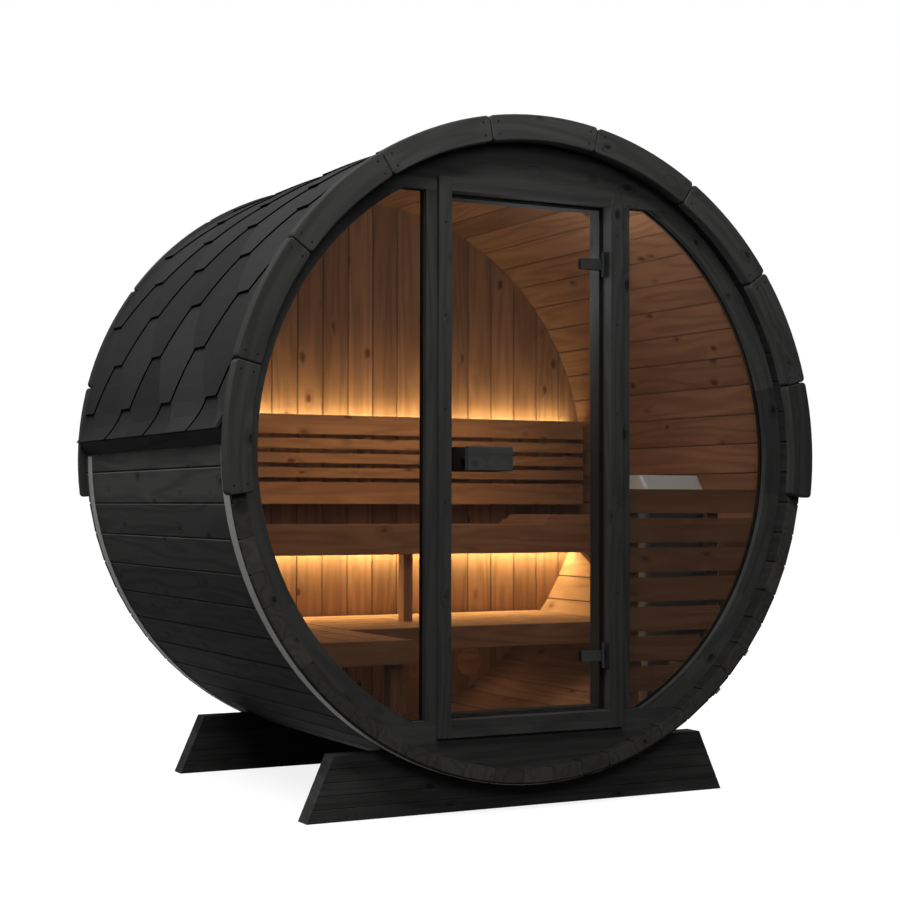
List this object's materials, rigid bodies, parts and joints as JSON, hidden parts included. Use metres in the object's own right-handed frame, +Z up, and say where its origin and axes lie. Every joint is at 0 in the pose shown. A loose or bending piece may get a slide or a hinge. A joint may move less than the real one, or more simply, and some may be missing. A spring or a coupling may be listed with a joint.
{
  "type": "barrel sauna",
  "caption": "Lying barrel sauna cabin of dark staves on cradles, with a shingled roof, glazed front wall, hinged glass door, benches and a guarded heater.",
  "frame": {"origin": "ground under the middle of the barrel", "axes": "+X across the front to the hinge side, front wall faces -Y, +Z up"},
  "size_m": [2.0684, 1.456, 2.0968],
  "materials": {
    "charcoal_stained_timber": "charcoal stain, sawn and brushed",
    "heat_treated_pine": "planed, heat treated, unsealed",
    "tinted_safety_glass": "polished, bronze tint",
    "galvanised_steel": "galvanised, satin",
    "black_steel": "satin black",
    "bitumen_shingle": "mineral grit on bitumen",
    "light_strip": "milky diffuser",
    "heater_stone": "broken stone",
    "heater_steel": "brushed",
    "vent_plastic": "turned and planed"
  },
  "bodies": {
    "cabin": {"backrest": "heat_treated_pine", "backrest_uprights": "heat_treated_pine", "bench_bearers": "heat_treated_pine", "bench_gussets": "heat_treated_pine", "bench_ledgers": "heat_treated_pine", "bench_posts": "heat_treated_pine", "cradle_front": "charcoal_stained_timber", "cradle_rear": "charcoal_stained_timber", "door_head": "charcoal_stained_timber", "door_jamb_left": "charcoal_stained_timber", "door_jamb_right": "charcoal_stained_timber", "door_sill": "charcoal_stained_timber", "eave_battens": "charcoal_stained_timber", "front_trim": "charcoal_stained_timber", "front_wall_foot": "charcoal_stained_timber", "front_wall_head": "charcoal_stained_timber", "guard_posts": "heat_treated_pine", "guard_slats": "heat_treated_pine", "headrest": "heat_treated_pine", "heater_feet": "heater_steel", "heater_hopper": "heater_steel", "heater_housing": "heater_steel", "heater_shield": "heater_steel", "heater_stones": "heater_stone", "heater_tray": "heater_steel", "hinge_brackets": "black_steel", "hoop_front": "galvanised_steel", "hoop_rear": "galvanised_steel", "light_strips": "light_strip", "lower_bench": "heat_treated_pine", "rear_trim": "charcoal_stained_timber", "rear_wall": "heat_treated_pine", "roof_left": "bitumen_shingle", "roof_right": "bitumen_shingle", "roof_top": "bitumen_shingle", "staves_1": "charcoal_stained_timber", "staves_2": "charcoal_stained_timber", "staves_3": "charcoal_stained_timber", "staves_4": "charcoal_stained_timber", "staves_5": "charcoal_stained_timber", "staves_6": "charcoal_stained_timber", "upper_bench": "heat_treated_pine", "wall_vent": "vent_plastic", "window_glass_left": "tinted_safety_glass", "window_glass_right": "tinted_safety_glass", "window_rim_left": "charcoal_stained_timber", "window_rim_right": "charcoal_stained_timber", "window_stile_left": "charcoal_stained_timber", "window_stile_right": "charcoal_stained_timber"},
    "door": {"door_glass": "tinted_safety_glass", "hinge_clamps": "black_steel", "door_handle": "charcoal_stained_timber"}
  },
  "joints": [
    {"name": "door_hinge", "type": "hinge", "parent": "cabin", "child": "door", "pos_m": [0.27, -0.629, 1.067], "axis": [0, 0, 1], "range_deg": [0, 110]}
  ]
}
